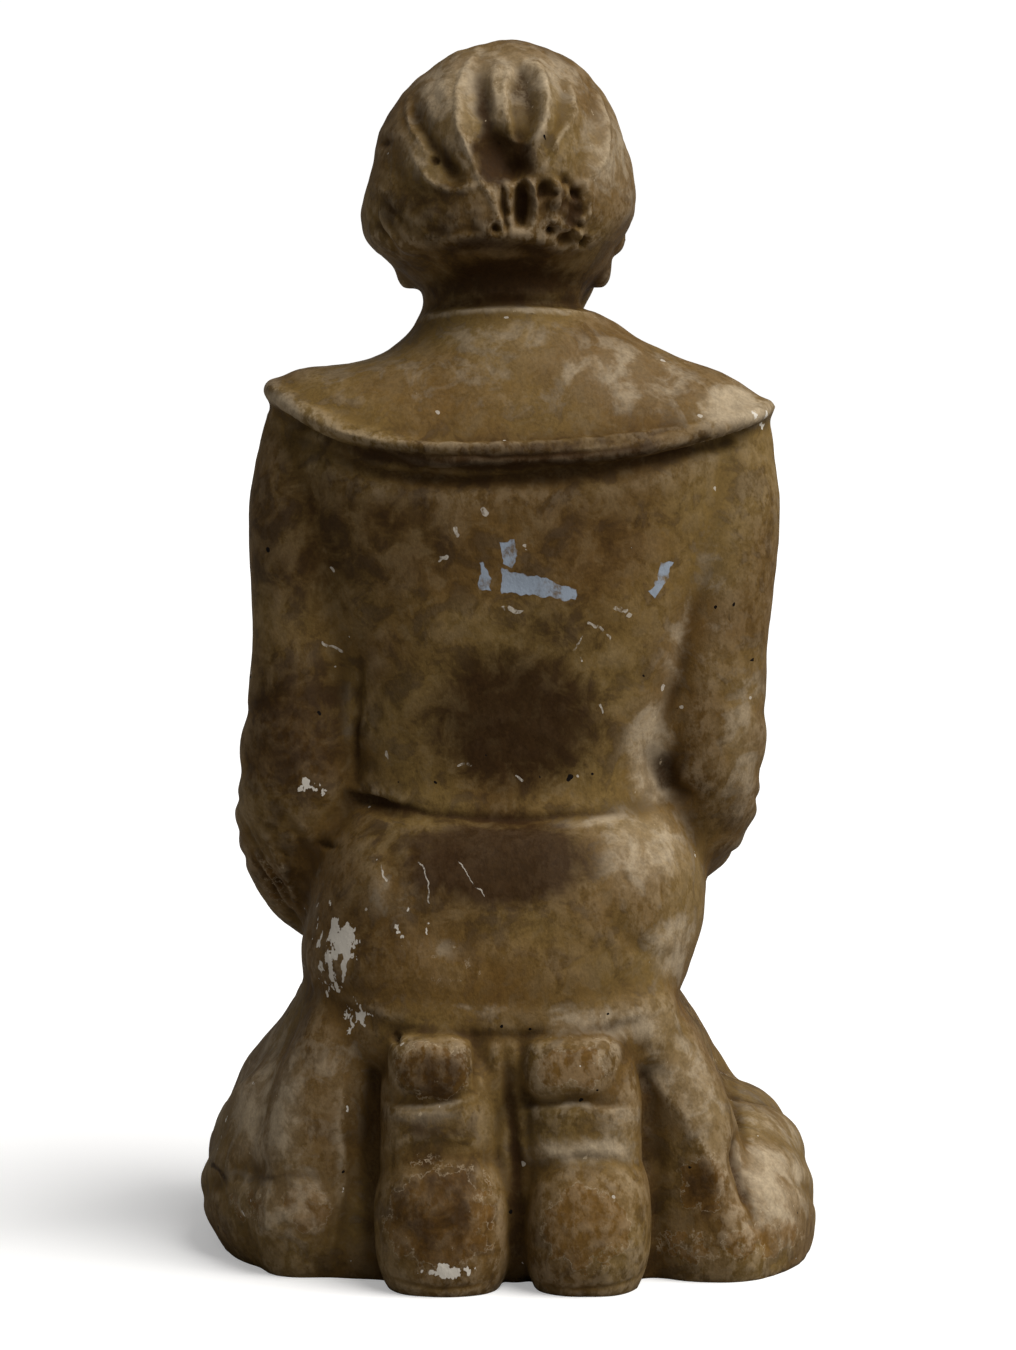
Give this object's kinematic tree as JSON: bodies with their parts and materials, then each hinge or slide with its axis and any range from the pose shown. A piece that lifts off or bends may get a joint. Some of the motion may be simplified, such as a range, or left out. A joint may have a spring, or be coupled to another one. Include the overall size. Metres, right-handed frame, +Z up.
{
  "type": "terracotta kneeling figure",
  "caption": "Terracotta statuette of a figure kneeling on its heels, in cape collar, jacket and long skirt, hair drawn back to a low knot and hands together in the lap.",
  "frame": {"origin": "middle of the figure's width and depth, on the ground it stands on", "axes": "+Z up, the figure faces -Y and its own left side is +X, so the soles of its shoes face +Y"},
  "size_m": [0.2177, 0.1948, 0.4208],
  "materials": {
    "terracotta": "matt fired clay with a worn brown patina, paler where it is rubbed"
  },
  "bodies": {
    "root": {"kneeling_figure": "terracotta"}
  },
  "joints": []
}
